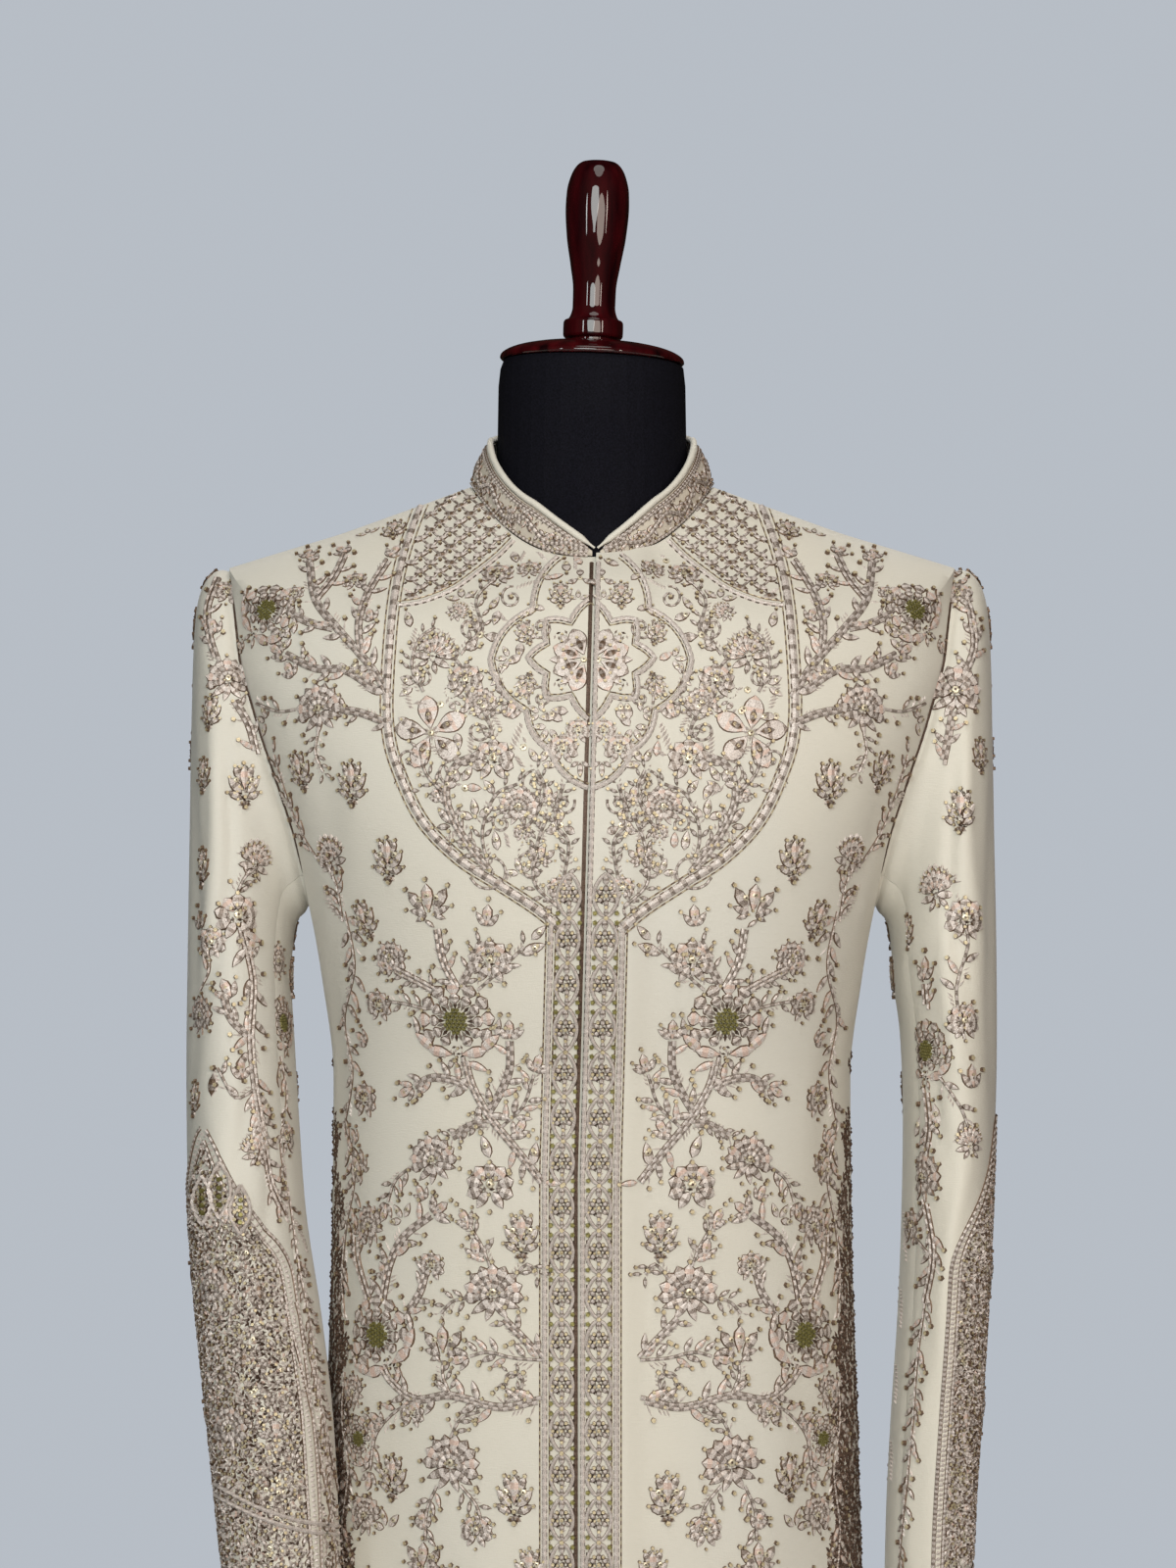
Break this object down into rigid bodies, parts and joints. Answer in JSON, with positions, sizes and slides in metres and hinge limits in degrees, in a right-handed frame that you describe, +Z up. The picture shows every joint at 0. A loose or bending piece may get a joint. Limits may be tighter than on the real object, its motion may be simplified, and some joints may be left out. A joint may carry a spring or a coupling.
{
  "type": "sherwani coat on dress form",
  "caption": "Knee-length sherwani coat of cream silk with stand collar, full sleeves and side slits, worn by a limbless dress form on a turned stand.",
  "frame": {"origin": "on the floor, under the middle of the stand's base", "axes": "+Z up along the pole, the coat's front faces -Y and the wearer's left is +X"},
  "size_m": [0.508, 0.344, 1.6778],
  "materials": {
    "silk": "satin, embroidered",
    "collar_silk": "satin, embroidered",
    "piping_silk": "satin",
    "form_cloth": "matte",
    "mahogany": "high gloss",
    "pole_metal": "satin"
  },
  "bodies": {
    "root": {"front_left": "silk", "front_right": "silk", "back_left": "silk", "back_right": "silk", "top_sleeve_left": "silk", "top_sleeve_right": "silk", "under_sleeve_left": "silk", "under_sleeve_right": "silk", "collar": "collar_silk", "collar_piping": "piping_silk", "form_torso": "form_cloth", "form_neck_cap": "mahogany", "form_finial": "mahogany", "form_base": "mahogany", "form_pole": "pole_metal"}
  },
  "joints": []
}
